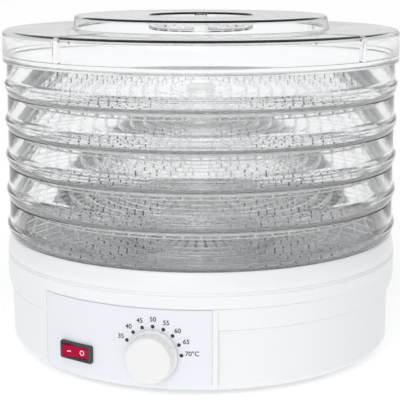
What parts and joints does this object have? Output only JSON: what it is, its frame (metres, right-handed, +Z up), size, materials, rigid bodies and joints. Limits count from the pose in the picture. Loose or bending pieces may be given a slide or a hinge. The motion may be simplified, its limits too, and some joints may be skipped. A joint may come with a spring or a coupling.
{
  "type": "food dehydrator",
  "caption": "Round countertop food dehydrator: white base with fan heater, rocker switch and thermostat dial, stacked clear trays and a clear lid with a sunken grip.",
  "frame": {"origin": "middle of the footprint, at the height the feet stand on", "axes": "+Z up; the front with the control panel faces -Y; +X is to the viewer's right"},
  "size_m": [0.33, 0.3482, 0.276],
  "materials": {
    "clear_tray_1": "clear moulded plastic",
    "clear_tray_2": "clear moulded plastic",
    "clear_tray_3": "clear moulded plastic",
    "clear_tray_4": "clear moulded plastic",
    "clear_tray_5": "clear moulded plastic",
    "clear_lid": "clear moulded plastic",
    "white_plastic": "white moulded plastic, slight sheen",
    "cover_plastic": "white moulded plastic",
    "panel_plastic": "bluish white satin plate",
    "rubber_1": "black rubber",
    "rubber_2": "black rubber",
    "rubber_3": "black rubber",
    "rubber_4": "black rubber",
    "screw_steel": "zinc plated steel",
    "switch_black": "dark grey plastic",
    "rocker_red": "red translucent plastic",
    "switch_terminal_line_brass": "tinned brass",
    "switch_terminal_load_brass": "tinned brass",
    "switch_terminal_neutral_brass": "tinned brass",
    "knob_plastic": "white plastic",
    "spindle_steel": "steel",
    "bushing_brass": "brass",
    "nut_steel": "zinc plated steel",
    "thermostat_ceramic": "steatite ceramic",
    "bimetal": "bimetal strip",
    "lamination_steel": "stacked steel laminations",
    "coil_wrap": "wound copper under tape",
    "rotor_metal": "cast aluminium cage",
    "shaft_steel": "ground steel",
    "motor_bracket_lower_steel": "pressed steel",
    "motor_bracket_upper_steel": "pressed steel",
    "impeller_plastic": "heat resistant plastic",
    "clip_steel": "spring steel",
    "heater_board_long_mica": "mica board",
    "heater_board_cross_mica": "mica board",
    "nichrome": "oxidised resistance wire",
    "galvanised": "galvanised sheet",
    "grille_plastic": "white moulded plastic",
    "block_plastic": "nylon",
    "fuse_sleeve": "glass fibre sleeve",
    "gland_plastic": "nylon",
    "wire_block_to_switch_sleeve": "insulated wire",
    "wire_switch_to_thermostat_sleeve": "insulated wire",
    "wire_thermostat_to_fuse_sleeve": "insulated wire",
    "wire_fuse_to_block_sleeve": "insulated wire"
  },
  "bodies": {
    "base": {"base_housing": "white_plastic", "base_bottom_cover": "cover_plastic", "control_panel": "panel_plastic", "foot_1": "rubber_1", "foot_2": "rubber_2", "foot_3": "rubber_3", "foot_4": "rubber_4", "cover_screw_1": "screw_steel", "cover_screw_2": "screw_steel", "cover_screw_3": "screw_steel", "cover_screw_4": "screw_steel", "motor_screw_left": "screw_steel", "motor_screw_right": "screw_steel", "duct_screw_1": "screw_steel", "duct_screw_2": "screw_steel", "duct_screw_3": "screw_steel", "switch_housing": "switch_black", "switch_terminal_line": "switch_terminal_line_brass", "switch_terminal_load": "switch_terminal_load_brass", "switch_terminal_neutral": "switch_terminal_neutral_brass", "thermostat_bushing": "bushing_brass", "thermostat_nut": "nut_steel", "thermostat_body": "thermostat_ceramic", "thermostat_bimetal": "bimetal", "motor_stator": "lamination_steel", "motor_coil": "coil_wrap", "motor_bracket_lower": "motor_bracket_lower_steel", "motor_bracket_upper": "motor_bracket_upper_steel", "heater_board_long": "heater_board_long_mica", "heater_board_cross": "heater_board_cross_mica", "heater_coil": "nichrome", "heat_duct": "galvanised", "outlet_grille": "grille_plastic", "terminal_block": "block_plastic", "thermal_fuse": "fuse_sleeve", "cord_gland": "gland_plastic", "wire_block_to_switch": "wire_block_to_switch_sleeve", "wire_switch_to_thermostat": "wire_switch_to_thermostat_sleeve", "wire_thermostat_to_fuse": "wire_thermostat_to_fuse_sleeve", "wire_fuse_to_block": "wire_fuse_to_block_sleeve"},
    "tray_1": {"tray_1": "clear_tray_1"},
    "tray_2": {"tray_2": "clear_tray_2"},
    "tray_3": {"tray_3": "clear_tray_3"},
    "tray_4": {"tray_4": "clear_tray_4"},
    "tray_5": {"tray_5": "clear_tray_5"},
    "knob": {"knob": "knob_plastic", "thermostat_spindle": "spindle_steel"},
    "rocker": {"switch_rocker": "rocker_red"},
    "fan": {"fan_impeller": "impeller_plastic", "motor_rotor": "rotor_metal", "motor_shaft": "shaft_steel", "fan_clip": "clip_steel"},
    "lid": {"lid": "clear_lid"}
  },
  "joints": [
    {"name": "tray_5_lift", "type": "slide", "parent": "base", "child": "tray_5", "axis": [0, 0, 1], "range_m": [0, 0.12]},
    {"name": "tray_4_lift", "type": "slide", "parent": "tray_5", "child": "tray_4", "axis": [0, 0, 1], "range_m": [0, 0.12]},
    {"name": "tray_3_lift", "type": "slide", "parent": "tray_4", "child": "tray_3", "axis": [0, 0, 1], "range_m": [0, 0.12]},
    {"name": "tray_2_lift", "type": "slide", "parent": "tray_3", "child": "tray_2", "axis": [0, 0, 1], "range_m": [0, 0.12]},
    {"name": "tray_1_lift", "type": "slide", "parent": "tray_2", "child": "tray_1", "axis": [0, 0, 1], "range_m": [0, 0.12]},
    {"name": "lid_lift", "type": "slide", "parent": "tray_1", "child": "lid", "axis": [0, 0, 1], "range_m": [0, 0.12]},
    {"name": "knob_turn", "type": "hinge", "parent": "base", "child": "knob", "pos_m": [-0.03607, -0.15875, 0.0334], "axis": [0.2215, 0.9751, 0], "range_deg": [-129, 21.5]},
    {"name": "rocker_tilt", "type": "hinge", "parent": "base", "child": "rocker", "pos_m": [-0.09425, -0.13311, 0.0276], "axis": [0, 0, -1], "range_deg": [0, 20]},
    {"name": "fan_spin", "type": "hinge", "parent": "base", "child": "fan", "pos_m": [0, 0, 0.05], "axis": [0, 0, 1], "continuous": true}
  ]
}
